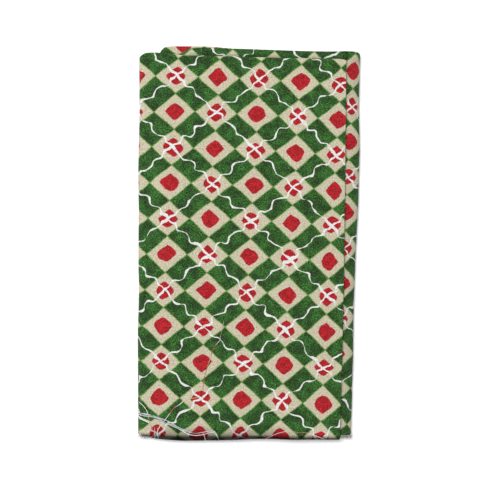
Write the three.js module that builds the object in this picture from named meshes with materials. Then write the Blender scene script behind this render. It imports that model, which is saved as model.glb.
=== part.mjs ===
// A fat quarter of printed quilting cotton, folded and lying flat, in millimetres with +Z up.
// The cloth is first folded in half across its width: that fold lies at +Y, the raw edges at -Y.
// The doubled cloth is then rolled flat in four runs, so the bundle is eight sheets deep: the flap on
// top, round the left fold to the base, round the tall right fold to the cover, which lies under the
// flap and shows past it, and round the hidden inner fold to the tail between cover and base.
// The whole bundle is one sheet, so it is one closed solid.
import * as THREE from 'three';

// Driving dimensions
const SHEET = 1.0; // thickness of the cloth, its loft included
const HALF_GAP = 0.35; // between the two halves of the doubled cloth
const TURN_GAP = 0.5; // between one run of the roll and the next
const FLAP_DIP = 2.7; // how far the flap sinks where nothing fills the bundle at its left
const FLAP_DIP_START = -53; // x where the flap starts to sink
const FLAP_DIP_END = -68; // x where it has sunk all the way
const HANG_RADIUS = 2.4; // bend of the flap over the raw ends at -Y
const HANG_ANGLE = THREE.MathUtils.degToRad(80); // steepest slope of the flap past that bend
const PUFF_REACH = 72; // x where the loft between the runs has died away
const PUFF_MEAN = 0.55; // share of its puff that a run keeps on average along y
const PUFF_SWING = 0.45; // how far that share rises and falls
const PUFF_SPACING = 38; // y over which that swing turns by one radian
const PUFF_START = 0.8; // angle of that swing at y = 0
const COTTON_GREEN = 0x2f6b33;

// The doubled cloth, and the height of its middle in each run, counted up from the base
const PAIR = 2 * SHEET + HALF_GAP;
const HALF_OFFSET = (SHEET + HALF_GAP) / 2;
const RUN_PITCH = PAIR + TURN_GAP;
const levelOf = (layer) => PAIR / 2 + layer * RUN_PITCH;

// Runs and folds in the order of the cloth. A run goes from one named line to the next, at a layer
// with its puff of loft. A fold turns down or up between two layers. It is widest at the share `low` of
// its height, and `depths` says how far in x its first and its second half reach.
const SECTIONS = [
  { kind: 'run', from: 'flap', to: 'left', layer: 3, puff: 0.8 },
  { kind: 'fold', line: 'left', side: -1, depths: [3.0, 3.0], from: 3, to: 0, low: 0.5 },
  { kind: 'run', from: 'left', to: 'right', layer: 0, puff: 0 },
  { kind: 'fold', line: 'right', side: 1, depths: [1.6, 9.0], from: 0, to: 2, low: 0.27 },
  { kind: 'run', from: 'right', to: 'inner', layer: 2, puff: 0.5 },
  { kind: 'fold', line: 'inner', side: -1, depths: [1.425, 1.425], from: 2, to: 1, low: 0.5 },
  { kind: 'run', from: 'inner', to: 'tail', layer: 1, puff: 0.25 },
];

// Outer edges seen from above, in x, at places along y: three folds and the two free ends
const LINES = [
  { y: 128, left: -71.7, right: 73.0, inner: -56.9, flap: 63.8, tail: 63.8 },
  { y: 60, left: -71.8, right: 73.0, inner: -56.4, flap: 63.1, tail: 63.7 },
  { y: 25, left: -72.0, right: 71.7, inner: -56.1, flap: 62.7, tail: 62.5 },
  { y: -1, left: -72.1, right: 70.5, inner: -56.3, flap: 62.3, tail: 61.3 },
  { y: -43, left: -72.2, right: 69.2, inner: -56.8, flap: 61.7, tail: 59.8 },
  { y: -95, left: -72.3, right: 67.9, inner: -57.2, flap: 60.4, tail: 58.4 },
  { y: -128, left: -72.5, right: 67.4, inner: -57.5, flap: 59.4, tail: 57.9 },
];

// Ends of the doubled cloth, in y, at places along the roll. `at` counts sections: 4.25 is a quarter
// along section 4. `fold` is the outer edge of the first fold, `outer` and `inner` are the raw edges
// of the two halves as if flat, `hang` is the length that bends down, `steps` divides up to the next.
const ENDS = [
  { at: 0.0, fold: 118.9, outer: -127.5, inner: -127.3, hang: 1.5, steps: 1 },
  { at: 0.02, fold: 119.9, outer: -127.5, inner: -127.3, hang: 1.5, steps: 4 },
  { at: 0.32, fold: 120.9, outer: -127.8, inner: -127.5, hang: 3.2, steps: 3 },
  { at: 0.56, fold: 122.1, outer: -129.2, inner: -128.9, hang: 5.0, steps: 3 },
  { at: 0.8, fold: 122.4, outer: -130.1, inner: -129.9, hang: 6.0, steps: 2 },
  { at: 0.9, fold: 122.7, outer: -129.2, inner: -129.0, hang: 5.2, steps: 1 },
  { at: 0.955, fold: 123.1, outer: -127.2, inner: -127.4, hang: 3.2, steps: 1 },
  { at: 0.985, fold: 123.0, outer: -125.2, inner: -127.4, hang: 1.6, steps: 1 },
  { at: 1.0, fold: 122.6, outer: -124.4, inner: -127.2, hang: 0.8, steps: 4 },
  { at: 1.5, fold: 120.4, outer: -122.9, inner: -125.6, hang: 0, steps: 4 },
  { at: 2.0, fold: 123.2, outer: -126.2, inner: -127.3, hang: 0, steps: 1 },
  { at: 2.03, fold: 123.8, outer: -126.8, inner: -127.0, hang: 0, steps: 1 },
  { at: 2.12, fold: 124.1, outer: -127.3, inner: -126.2, hang: 0, steps: 4 },
  { at: 2.5, fold: 123.4, outer: -127.0, inner: -125.6, hang: 0, steps: 4 },
  { at: 2.88, fold: 123.9, outer: -127.2, inner: -126.2, hang: 0, steps: 1 },
  { at: 2.95, fold: 124.0, outer: -127.4, inner: -127.8, hang: 0, steps: 1 },
  { at: 3.0, fold: 123.6, outer: -127.4, inner: -128.1, hang: 0, steps: 3 },
  { at: 3.5, fold: 121.4, outer: -126.3, inner: -127.8, hang: 0, steps: 3 },
  { at: 3.7, fold: 124.2, outer: -125.4, inner: -128.0, hang: 0, steps: 4 },
  { at: 4.0, fold: 124.8, outer: -125.1, inner: -128.1, hang: 0, steps: 1 },
  { at: 4.07, fold: 125.0, outer: -124.9, inner: -127.6, hang: 0, steps: 1 },
  { at: 4.13, fold: 125.1, outer: -124.7, inner: -125.0, hang: 0, steps: 2 },
  { at: 4.27, fold: 125.5, outer: -124.4, inner: -124.0, hang: 0, steps: 3 },
  { at: 4.54, fold: 126.6, outer: -124.1, inner: -123.8, hang: 0, steps: 2 },
  { at: 4.73, fold: 127.4, outer: -123.8, inner: -123.9, hang: 0, steps: 1 },
  { at: 4.82, fold: 127.6, outer: -123.6, inner: -123.9, hang: 0, steps: 1 },
  { at: 4.865, fold: 127.0, outer: -123.4, inner: -123.7, hang: 0, steps: 1 },
  { at: 4.885, fold: 124.9, outer: -123.3, inner: -123.6, hang: 0, steps: 1 },
  { at: 4.93, fold: 122.9, outer: -122.9, inner: -123.2, hang: 0, steps: 1 },
  { at: 5.0, fold: 122.0, outer: -122.5, inner: -122.9, hang: 0, steps: 3 },
  { at: 5.5, fold: 124.9, outer: -122.6, inner: -122.5, hang: 0, steps: 3 },
  { at: 6.0, fold: 127.4, outer: -123.0, inner: -122.6, hang: 0, steps: 1 },
  { at: 6.05, fold: 128.0, outer: -123.2, inner: -122.8, hang: 0, steps: 2 },
  { at: 6.25, fold: 128.0, outer: -123.6, inner: -123.4, hang: 0, steps: 2 },
  { at: 6.4, fold: 126.4, outer: -123.8, inner: -123.7, hang: 0, steps: 5 },
  { at: 7.0, fold: 125.0, outer: -124.0, inner: -123.2, hang: 0, steps: 0 },
];

// Steps along each half of the cloth: short ones near the raw edge, where the flap bends down, long ones
// up to the first fold, and the steps round that fold
const EDGE_STEPS = 5;
const HALF_STEPS = 6;
const ROUND_STEPS = 6;
const EDGE_LENGTH = 4.0; // length that takes the short steps where less of the cloth hangs

// Value of a table's column at a place, straight between the rows on either side of it
function readTable(table, key, place, column) {
  const rising = table[1][key] > table[0][key];
  const past = table.findIndex((row) => (rising ? row[key] > place : row[key] < place));
  const upper = past < 0 ? table.length - 1 : Math.max(past, 1);
  const a = table[upper - 1];
  const b = table[upper];
  const part = THREE.MathUtils.clamp((place - a[key]) / (b[key] - a[key]), 0, 1);
  return THREE.MathUtils.lerp(a[column], b[column], part);
}

const lineAt = (name, y) => readTable(LINES, 'y', y, name);
const endAt = (column, at) => readTable(ENDS, 'at', at, column);

// Extra height of a run at x, y: soft loft in the middle, and the flap's dip towards the left fold
function liftAt(layer, puff, x, y) {
  const across = Math.max(0, 1 - (x / PUFF_REACH) ** 4);
  const along = PUFF_MEAN + PUFF_SWING * Math.sin(y / PUFF_SPACING + PUFF_START);
  const sunk = THREE.MathUtils.smoothstep(-x, -FLAP_DIP_START, -FLAP_DIP_END);
  return puff * across * along * (1 - sunk) - (layer === 3 ? FLAP_DIP * sunk : 0);
}

// Where a section ends in x, for the middle of the doubled cloth: a free edge, or the place where the
// first half (0) of a fold begins or its second half (1) ends
function stopOf(name, y, half) {
  const fold = SECTIONS.find((section) => section.line === name);
  const outer = lineAt(name, y);
  return fold ? outer - fold.side * (PAIR / 2 + fold.depths[half]) : outer;
}

// Middle of the doubled cloth as it is rolled, at a place along the roll and at y
function rollPoint(at, y) {
  const index = Math.min(Math.floor(at), SECTIONS.length - 1);
  const part = at - index;
  const section = SECTIONS[index];
  if (section.kind === 'run') {
    const x = THREE.MathUtils.lerp(stopOf(section.from, y, 1), stopOf(section.to, y, 0), part);
    return new THREE.Vector2(x, levelOf(section.layer) + liftAt(section.layer, section.puff, x, y));
  }
  const puffs = SECTIONS.filter((run) => run.kind === 'run');
  const heightOf = (layer, x) => {
    const run = puffs.find((candidate) => candidate.layer === layer);
    return levelOf(layer) + liftAt(layer, run.puff, x, y);
  };
  const half = part < 0.5 ? 0 : 1;
  const first = heightOf(section.from, stopOf(section.line, y, 0));
  const last = heightOf(section.to, stopOf(section.line, y, 1));
  const widest = THREE.MathUtils.lerp(Math.min(first, last), Math.max(first, last), section.low);
  const end = half === 0 ? first : last;
  return new THREE.Vector2(
    stopOf(section.line, y, half) + section.side * section.depths[half] * Math.sin(Math.PI * part),
    widest + (end - widest) * Math.abs(Math.cos(Math.PI * part)),
  );
}

// Unit normal of the roll, on the side that faces out of it
function rollNormal(at, y) {
  const nudge = 1e-3;
  const before = rollPoint(Math.max(0, at - nudge), y);
  const after = rollPoint(Math.min(SECTIONS.length, at + nudge), y);
  const along = after.sub(before).normalize();
  return new THREE.Vector2(along.y, -along.x);
}

// Middle of the doubled cloth along y, as y and height over the roll, `down` mm from the first fold.
// It is straight, then bends down round HANG_RADIUS, and `lean` is its slope there.
function acrossPoint(top, bendStart, down) {
  const past = Math.max(0, down - bendStart);
  const lean = Math.min(past / HANG_RADIUS, HANG_ANGLE);
  const tail = past - lean * HANG_RADIUS;
  return {
    y: top - Math.min(down, bendStart) - HANG_RADIUS * Math.sin(lean) - tail * Math.cos(lean),
    height: -HANG_RADIUS * (1 - Math.cos(lean)) - tail * Math.sin(lean),
    lean,
  };
}

// Places across the cloth, from the raw edge of the outer half, round the first fold to the raw edge
// of the inner half. `edge` runs from the start of the bend (0) to the raw edge (1), `rise` from there
// up to the first fold (1), and `turn` is the angle round that fold.
function acrossPlaces() {
  const half = [];
  for (let i = 0; i < EDGE_STEPS; i += 1) half.push({ edge: 1 - i / EDGE_STEPS, rise: 0 });
  for (let i = 0; i < HALF_STEPS; i += 1) half.push({ edge: 0, rise: i / HALF_STEPS });
  const places = half.map((place) => ({ side: 'outer', ...place, turn: 0 }));
  for (let i = 0; i <= ROUND_STEPS; i += 1) {
    places.push({ side: 'outer', edge: 0, rise: 1, turn: (Math.PI * i) / ROUND_STEPS });
  }
  half.reverse().forEach((place) => places.push({ side: 'inner', ...place, turn: Math.PI }));
  return places;
}

// Point of the solid at a place along the roll and across the cloth, on its printed or its plain face
function clothPoint(at, place, face) {
  const top = endAt('fold', at) - PAIR / 2;
  const hang = endAt('hang', at);
  const length = top - endAt('outer', at);
  const edgeStart = length - Math.max(hang, EDGE_LENGTH);
  const down = place.edge > 0
    ? THREE.MathUtils.lerp(edgeStart, top - endAt(place.side, at), place.edge)
    : edgeStart * (1 - place.rise);
  const middle = acrossPoint(top, length - hang, down);
  const reach = HALF_OFFSET + (face * SHEET) / 2;
  const outward = reach * Math.cos(place.turn);
  const y = middle.y - outward * Math.sin(middle.lean) + reach * Math.sin(place.turn);
  const height = middle.height + outward * Math.cos(middle.lean);
  const centre = rollPoint(at, y);
  const normal = rollNormal(at, y);
  return new THREE.Vector3(centre.x + height * normal.x, y, centre.y + height * normal.y);
}

// Places along the roll: every row of ENDS and its steps
function rollPlaces() {
  const places = [];
  ENDS.slice(0, -1).forEach((row, i) => {
    for (let step = 0; step < row.steps; step += 1) {
      places.push(THREE.MathUtils.lerp(row.at, ENDS[i + 1].at, step / row.steps));
    }
  });
  places.push(ENDS[ENDS.length - 1].at);
  return places;
}

// Closed sheet over a grid of places: its printed face, its plain face and its four raw edges
function clothGeometry() {
  const along = rollPlaces();
  const across = acrossPlaces();
  const positions = [];
  const faces = [];
  for (const face of [1, -1]) {
    along.forEach((at) => across.forEach((place) => {
      positions.push(...clothPoint(at, place, face).toArray());
    }));
  }
  const rows = along.length;
  const columns = across.length;
  const printed = (i, j) => i * columns + j;
  const plain = (i, j) => rows * columns + i * columns + j;
  const quad = (a, b, c, d) => faces.push(a, b, c, a, c, d);
  for (let i = 0; i < rows - 1; i += 1) {
    for (let j = 0; j < columns - 1; j += 1) {
      quad(printed(i, j), printed(i, j + 1), printed(i + 1, j + 1), printed(i + 1, j));
      quad(plain(i, j), plain(i + 1, j), plain(i + 1, j + 1), plain(i, j + 1));
    }
    const last = columns - 1;
    quad(printed(i, 0), printed(i + 1, 0), plain(i + 1, 0), plain(i, 0));
    quad(printed(i + 1, last), printed(i, last), plain(i, last), plain(i + 1, last));
  }
  for (let j = 0; j < columns - 1; j += 1) {
    const last = rows - 1;
    quad(printed(0, j + 1), printed(0, j), plain(0, j), plain(0, j + 1));
    quad(printed(last, j), printed(last, j + 1), plain(last, j + 1), plain(last, j));
  }
  const geometry = new THREE.BufferGeometry();
  geometry.setAttribute('position', new THREE.Float32BufferAttribute(positions, 3));
  geometry.setIndex(faces);
  geometry.computeVertexNormals();
  return geometry;
}

// The cloth, moved so that the origin is the middle of its footprint on the surface it lies on
function foldedCloth() {
  const geometry = clothGeometry();
  geometry.computeBoundingBox();
  const box = geometry.boundingBox;
  const centre = box.getCenter(new THREE.Vector3());
  geometry.translate(-centre.x, -centre.y, -box.min.z);
  const finish = new THREE.MeshStandardMaterial({ color: COTTON_GREEN, roughness: 0.9, metalness: 0 });
  const cloth = new THREE.Mesh(geometry, finish);
  cloth.name = 'folded_cloth';
  return cloth;
}

const bundle = new THREE.Group();
bundle.add(foldedCloth());

export default bundle;
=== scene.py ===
"""Looks of a fat quarter of printed quilting cotton, folded in half, rolled flat and lying on a table.

The cloth is one thin sheet on the folds of its solid. Its shape is worked out in millimetres, as the solid's
is, and goes into the meshes in metres. Its flat size is the roll's length by twice the folded depth.
"""
import math

import bpy
import numpy as np
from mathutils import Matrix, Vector
from mathutils.bvhtree import BVHTree


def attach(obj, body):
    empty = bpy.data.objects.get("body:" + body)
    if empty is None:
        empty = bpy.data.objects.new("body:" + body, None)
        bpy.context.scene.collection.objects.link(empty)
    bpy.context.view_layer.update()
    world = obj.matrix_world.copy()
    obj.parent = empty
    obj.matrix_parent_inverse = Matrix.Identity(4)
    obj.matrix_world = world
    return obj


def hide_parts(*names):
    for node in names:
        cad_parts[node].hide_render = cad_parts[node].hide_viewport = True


MM = 0.001

# Driving dimensions, in millimetres, as the solid's but for the bend over the raw ends
PAIR = 2.35  # thickness of the doubled cloth, loft included
RUN_PITCH = 2.85  # from one run of the roll to the next
FLAP_DIP = 2.7  # how far the flap sinks where nothing fills the bundle at its left
FLAP_DIP_START = -53.0  # x where it begins to sink
FLAP_DIP_END = -68.0  # x where it has sunk
HANG_RADIUS = 0.7  # bend of the flap over the raw ends at -Y
HANG_ANGLE = math.radians(56)
PUFF_REACH = 72.0  # x where a run's soft rise ends on either side
PUFF_MEAN = 0.55
PUFF_SWING = 0.45
PUFF_SPACING = 38.0  # length along y for each radian of its swing
PUFF_START = 0.8
EDGE_LENGTH = 4.0  # length near a raw edge that takes the short steps

# Runs and folds in the order of the cloth, as in the solid. `puff` is how much of the soft rise a run gets. A
# fold is widest at the share `low` of its height, and `depths` says how far in x its two halves reach
SECTIONS = [
    dict(kind="run", start="flap", end="left", layer=3, puff=0.8),
    dict(kind="fold", line="left", side=-1, depths=(3.0, 3.0), layers=(3, 0), low=0.5),
    dict(kind="run", start="left", end="right", layer=0, puff=0.0),
    dict(kind="fold", line="right", side=1, depths=(1.6, 9.0), layers=(0, 2), low=0.27),
    dict(kind="run", start="right", end="inner", layer=2, puff=0.5),
    dict(kind="fold", line="inner", side=-1, depths=(1.425, 1.425), layers=(2, 1), low=0.5),
    dict(kind="run", start="inner", end="tail", layer=1, puff=0.25),
]

# Outer edges seen from above, in x, at places along y, and how far along y they are averaged
LINE_SMOOTHING = 5.0
LINE_COLUMNS = ("y", "left", "right", "inner", "flap", "tail")
LINES = np.array([
    (-128, -72.5, 67.4, -57.5, 59.4, 57.9),
    (-95, -72.3, 67.9, -57.2, 60.4, 58.4),
    (-43, -72.2, 69.2, -56.8, 61.7, 59.8),
    (-1, -72.1, 70.5, -56.3, 62.3, 61.3),
    (25, -72.0, 71.7, -56.1, 62.7, 62.5),
    (60, -71.8, 73.0, -56.4, 63.1, 63.7),
    (128, -71.2, 73.0, -58.0, 63.8, 63.8),
])

# Ends of the doubled cloth in y, at places along the roll (4.25 is a quarter along section 4): the outer
# edge of the first fold, the raw edges of the two halves as if flat, and the length that bends down. The
# flap's raw ends reach up to 2 mm further than the solid's. All are averaged over END_SMOOTHING along the
# roll
END_SMOOTHING = 1.3
END_COLUMNS = ("at", "fold", "outer", "inner", "hang")
ENDS = np.array([
    (0.0, 118.9, -128.0, -127.3, 2.0),
    (0.02, 119.9, -128.0, -127.3, 2.0),
    (0.32, 120.2, -128.6, -127.9, 4.0),
    (0.56, 121.4, -129.8, -129.3, 5.6),
    (0.8, 122.0, -130.7, -130.3, 6.6),
    (0.9, 123.4, -129.8, -129.4, 5.8),
    (0.955, 124.2, -128.6, -128.4, 4.4),
    (0.985, 124.3, -126.6, -128.4, 2.2),
    (1.0, 124.1, -125.2, -128.2, 0.8),
    (1.5, 121.8, -123.9, -127.0, 0.0),
    (2.0, 123.2, -126.2, -127.3, 0.0),
    (2.03, 123.8, -126.8, -127.0, 0.0),
    (2.12, 124.1, -127.3, -126.2, 0.0),
    (2.5, 123.4, -127.0, -125.6, 0.0),
    (2.88, 123.9, -127.2, -126.2, 0.0),
    (2.95, 124.0, -127.4, -127.8, 0.0),
    (3.0, 123.6, -127.4, -128.1, 0.0),
    (3.5, 124.3, -126.3, -127.8, 0.0),
    (3.7, 125.1, -125.4, -128.0, 0.0),
    (4.0, 125.2, -125.1, -128.1, 0.0),
    (4.07, 125.0, -124.9, -127.6, 0.0),
    (4.13, 125.1, -124.7, -125.0, 0.0),
    (4.27, 125.5, -124.4, -124.0, 0.0),
    (4.54, 126.6, -124.1, -123.8, 0.0),
    (4.73, 127.4, -123.8, -123.9, 0.0),
    (4.82, 127.6, -123.6, -123.9, 0.0),
    (4.865, 127.0, -123.4, -123.7, 0.0),
    (4.885, 124.9, -123.3, -123.6, 0.0),
    (4.93, 122.9, -122.9, -123.2, 0.0),
    (5.0, 122.0, -122.5, -122.9, 0.0),
    (5.5, 124.9, -122.6, -122.5, 0.0),
    (6.0, 128.5, -123.0, -122.6, 0.0),
    (6.05, 129.0, -123.2, -122.8, 0.0),
    (6.25, 128.8, -123.6, -123.4, 0.0),
    (6.4, 127.2, -123.8, -123.7, 0.0),
    (7.0, 125.0, -124.0, -123.2, 0.0),
])

# The thin cloth that stands on those folds
CLOTH = 0.42  # thickness, millimetres
OUTER_OFFSET = PAIR / 2 - CLOTH / 2  # middle of the outer half, from the middle of the doubled cloth
INNER_OFFSET = 0.45
FLAP_SETTLE = 1.7  # how far the flap's free edge sinks onto the cover
FLAP_SETTLE_REACH = 30.0
RIPPLES = ((11, 46, 0.22), (12, 17, 0.06))  # seed, spacing and height of its soft swells
TURN_LENGTH = 1.6  # length of cloth round the first fold, for each radian

# Painted shade: the cloth's colour is darkened where it bends down over the raw ends at -Y, and on the cover
# in its crevices beside the flap and beyond the flap's fold
LEAST_SHADED_HANG = 0.5  # shorter ends than this get no painted shade
PAINTED_HEM_SHADE_REACH = 1.1  # length on either side of the bend at -Y over which the painted shade sets in
PAINTED_CREVICE_REACH = (1.6, 1.1)  # millimetres over which painted shade darkens the cover beside the flap and beyond its fold
# strength of the painted shade in the cover's crevices
PAINTED_CREVICE_STRENGTH = 0.5
PAINTED_COVER_SHADE = 0.15  # the share of that painted shade over the rest of the cover, which lies lower than the flap
PAINTED_CREVICE_OVERLAP = 0.5  # millimetres that the painted shade reaches in beneath the flap

# Grid of the cloth: coarse and fine steps, and how far from a fold or an edge the fine ones reach
COARSE_STEP = 2.5
FOLD_STEP = 0.55
DETAIL_STEP = 1.1
FINE_REACH = 7.0
DETAILS = ((4.76, 4.97), (6.0, 6.3), (0.86, 1.0), (2.0, 2.1), (2.9, 3.0), (4.0, 4.12))  # where the ends jump
EDGE_STEPS = 13
HALF_STEPS = 50
ROUND_STEPS = 14
CROWDING = 1.25  # above 1, the steps across crowd towards the first fold

# Print: steps of its lattice on the cloth, in millimetres, and the diamond at its start
LATTICE_ACROSS = (26.78, -0.845)
LATTICE_DOWN = (-1.22, -23.0)
LATTICE_START = (-46.3, 108.0)
THREAD_PITCH = 0.43  # from thread to thread of the weave

# Stretches of the roll, as places along it, over which the print's place is eased from run to run
COVER_SECTION = 4
COVER_FROM = 3.5
ONTO_COVER = (2.05, 2.95)
ONTO_TAIL = (4.93, 6.02)
OFF_FLAP = (1.0, 2.0)

# How the print is eased on the cover and on the tail, in millimetres
COVER_EASE = (-303.2, 2.5)
COVER_SHEAR = 0.012  # sideways for each millimetre below COVER_SHEAR_START
COVER_SHEAR_START = 107.0
COVER_BEND = (-45.0, 0.0006)  # where it starts, and how much for each square millimetre below that
COVER_STRETCH = 0.02
COVER_STRETCH_REACH = 14.0
TAIL_EASE = (9.6, 10.2)

# How far the flap's print is pulled out of true, in millimetres in x and y, as sums of 1, x, y, xy, xx and yy
# times these, with x and y as shares of FLAP_PULL_SIZE from its middle
FLAP_PULL = ((-0.73, -0.51, 0.51, 0.27, -0.89, 0.49), (-0.64, -0.60, 0.79, -0.57, -1.04, -1.01))
FLAP_PULL_MIDDLE = (-3.6, 0.0)
FLAP_PULL_SIZE = (65.0, 130.0)


def column(table, names, name):
    """One named column of a table."""
    return table[:, names.index(name)]


def smooth_read(places, table_places, values, reach):
    """A table read straight between its rows, then averaged over `reach` on either side of each place."""
    nudges = np.linspace(-reach, reach, 7)
    return np.mean([np.interp(places + nudge, table_places, values) for nudge in nudges], axis=0)


def smoothstep(low, high, value):
    """0 below `low`, 1 above `high` and a soft S between them."""
    part = np.clip((value - low) / (high - low), 0, 1)
    return part * part * (3 - 2 * part)


def level(layer):
    """Height of the middle of the doubled cloth in a run."""
    return PAIR / 2 + RUN_PITCH * layer


def lift(layer, puff, x, y):
    """Extra height of a run: a rise that falls off by the fourth power of x and swells along y by a sine, and
    the flap's dip, which sets in by a soft S."""
    across = np.maximum(0, 1 - (x / PUFF_REACH) ** 4)
    along = PUFF_MEAN + PUFF_SWING * np.sin(y / PUFF_SPACING + PUFF_START)
    sunk = smoothstep(-FLAP_DIP_START, -FLAP_DIP_END, -x)
    return puff * across * along * (1 - sunk) - (FLAP_DIP * sunk if layer == 3 else 0)


def stop(name, y, half):
    """Where a section ends in x: a free edge, or where half 0 of a fold begins or its half 1 ends."""
    line = smooth_read(y, column(LINES, LINE_COLUMNS, "y"), column(LINES, LINE_COLUMNS, name), LINE_SMOOTHING)
    for section in SECTIONS:
        if section.get("line") == name:
            return line - section["side"] * (PAIR / 2 + np.asarray(section["depths"])[half])
    return line


def roll(at, y):
    """Middle of the doubled cloth as rolled, x and z: straight runs with their lift, and quarter ellipses."""
    at, y = np.broadcast_arrays(at, y)
    x, z = np.zeros(at.shape), np.zeros(at.shape)
    puffs = {section["layer"]: section["puff"] for section in SECTIONS if section["kind"] == "run"}
    for index, section in enumerate(SECTIONS):
        here = (at >= index) & ((at < index + 1) | (index == len(SECTIONS) - 1))
        part, there = at[here] - index, y[here]
        if section["kind"] == "run":
            x[here] = stop(section["start"], there, 1) * (1 - part) + stop(section["end"], there, 0) * part
            z[here] = level(section["layer"]) + lift(section["layer"], section["puff"], x[here], there)
            continue
        half = (part >= 0.5).astype(int)
        first, last = (
            level(layer) + lift(layer, puffs[layer], stop(section["line"], there, end), there)
            for end, layer in enumerate(section["layers"])
        )
        widest = np.minimum(first, last) + section["low"] * np.abs(last - first)
        depth = np.asarray(section["depths"])[half]
        x[here] = stop(section["line"], there, half) + section["side"] * depth * np.sin(math.pi * part)
        z[here] = widest + (np.where(half, last, first) - widest) * np.abs(np.cos(math.pi * part))
    return x, z


def roll_normal(at, y):
    """Unit normal of the roll on the side that faces out of it, from two points close together."""
    nudge = 1e-3
    x0, z0 = roll(np.maximum(0, at - nudge), y)
    x1, z1 = roll(np.minimum(len(SECTIONS), at + nudge), y)
    length = np.hypot(x1 - x0, z1 - z0)
    return (z1 - z0) / length, -(x1 - x0) / length


def steps_along(marks, spans, total):
    """Places from 0 to total whose spacing is coarse, fine near each mark and in between inside each span."""
    fine = np.linspace(0, total, 8000)
    near = np.min([np.abs(fine - mark) for mark in marks], axis=0)
    step = COARSE_STEP + (FOLD_STEP - COARSE_STEP) * (1 - smoothstep(FINE_REACH / 2, FINE_REACH * 1.6, near))
    for low, high in spans:
        step[(fine > low) & (fine < high)] = np.minimum(step[(fine > low) & (fine < high)], DETAIL_STEP)
    count = np.concatenate([[0], np.cumsum((1 / step)[1:] * np.diff(fine))])
    return np.interp(np.linspace(0, count[-1], int(count[-1]) + 1), count, fine)


def places_along():
    """Places along the roll, as `at` values, their lengths along it at y = 0, and a function that turns the
    one into the other."""
    at = np.linspace(0, len(SECTIONS), 7001)
    x, z = roll(at, np.zeros(at.shape))
    length = np.concatenate([[0], np.cumsum(np.hypot(np.diff(x), np.diff(z)))])
    marks = np.interp(np.arange(0.0, len(SECTIONS) + 1.0), at, length)
    folds = [marks[0]]
    for index, section in enumerate(SECTIONS):
        if section["kind"] == "fold":
            folds += [marks[index], (marks[index] + marks[index + 1]) / 2, marks[index + 1]]
    spans = [tuple(np.interp(span, at, length)) for span in DETAILS]
    places = steps_along(folds, spans, length[-1])
    return np.interp(places, length, at), places, lambda value: np.interp(value, at, length)


def places_across():
    """Places across the cloth, from the outer half's raw edge round the first fold to the inner half's.

    `edge` falls from 1 at the raw edge to 0 where the short steps end, `rise` runs from there to 1 at the
    fold, close together near it, and `turn` is the angle round the fold."""
    edge = np.linspace(1, 0, EDGE_STEPS, endpoint=False)
    rise = 1 - (1 - np.linspace(0, 1, HALF_STEPS, endpoint=False)) ** CROWDING
    half_edge = np.concatenate([edge, np.zeros(HALF_STEPS)])
    half_rise = np.concatenate([np.zeros(EDGE_STEPS), rise])
    turns = np.linspace(0, math.pi, ROUND_STEPS + 1)
    still = np.zeros(ROUND_STEPS + 1)
    return (
        np.concatenate([half_edge, still, half_edge[::-1]]),
        np.concatenate([half_rise, still + 1, half_rise[::-1]]),
        np.concatenate([np.zeros(len(half_edge)), turns, np.full(len(half_edge), math.pi)]),
    )


def ripple(along, across, seed, spacing, height):
    """A soft uneven swell over the flat cloth: the sum of nine sine waves of random direction and phase."""
    draw = np.random.default_rng(seed)
    total = np.zeros(np.broadcast(along, across).shape)
    for _ in range(9):
        heading = draw.uniform(0, math.pi)
        wave = 2 * math.pi / (spacing * draw.uniform(0.7, 1.8))
        phase = draw.uniform(0, 2 * math.pi)
        total += np.sin(wave * (along * math.cos(heading) + across * math.sin(heading)) + phase)
    return height * total / 3


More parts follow.
